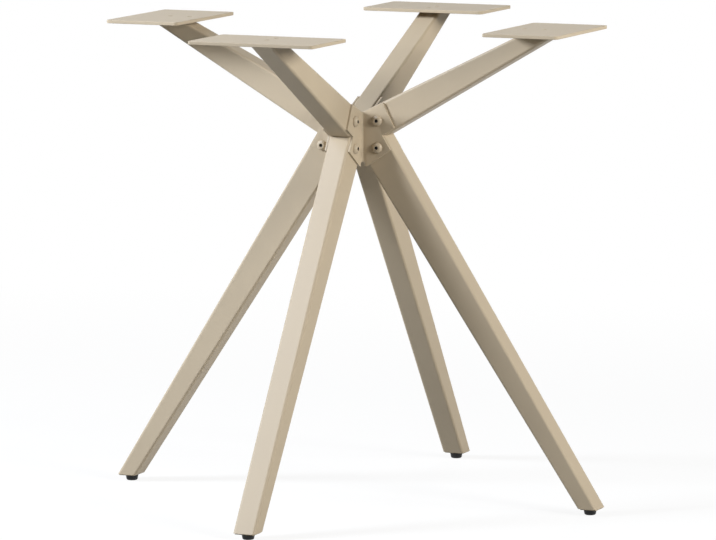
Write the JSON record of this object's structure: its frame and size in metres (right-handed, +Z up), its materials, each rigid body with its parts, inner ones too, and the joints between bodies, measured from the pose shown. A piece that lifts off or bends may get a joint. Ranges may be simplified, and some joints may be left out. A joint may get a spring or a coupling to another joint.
{
  "type": "x-shaped table leg",
  "caption": "X-shaped table base of bent tapered steel boxes, bolted at the hub with folded corner brackets, with flat top plates and small black feet.",
  "frame": {"origin": "on the floor under the middle of the hub", "axes": "+Z up; the units point along +X, +Y, -X and -Y, and -Y is the front"},
  "size_m": [0.7948, 0.7948, 0.72],
  "materials": {
    "powder_coat": "satin beige powder coat on steel",
    "screw_coat": "satin beige coat on steel, hexagon sockets dark",
    "rubber": "matt black",
    "plated_steel": "zinc-plated steel"
  },
  "bodies": {
    "root": {"right_arm": "powder_coat", "right_leg": "powder_coat", "right_top_plate": "powder_coat", "right_hub_sleeves": "plated_steel", "right_unit_screws": "screw_coat", "right_foot_plate": "powder_coat", "right_foot_pad": "rubber", "right_foot_screw": "plated_steel", "back_arm": "powder_coat", "back_leg": "powder_coat", "back_top_plate": "powder_coat", "back_hub_sleeves": "plated_steel", "back_unit_screws": "screw_coat", "back_foot_plate": "powder_coat", "back_foot_pad": "rubber", "back_foot_screw": "plated_steel", "left_arm": "powder_coat", "left_leg": "powder_coat", "left_top_plate": "powder_coat", "left_hub_sleeves": "plated_steel", "left_unit_screws": "screw_coat", "left_foot_plate": "powder_coat", "left_foot_pad": "rubber", "left_foot_screw": "plated_steel", "front_arm": "powder_coat", "front_leg": "powder_coat", "front_top_plate": "powder_coat", "front_hub_sleeves": "plated_steel", "front_unit_screws": "screw_coat", "front_foot_plate": "powder_coat", "front_foot_pad": "rubber", "front_foot_screw": "plated_steel", "back_right_bracket": "powder_coat", "back_left_bracket": "powder_coat", "front_left_bracket": "powder_coat", "front_right_bracket": "powder_coat"}
  },
  "joints": []
}
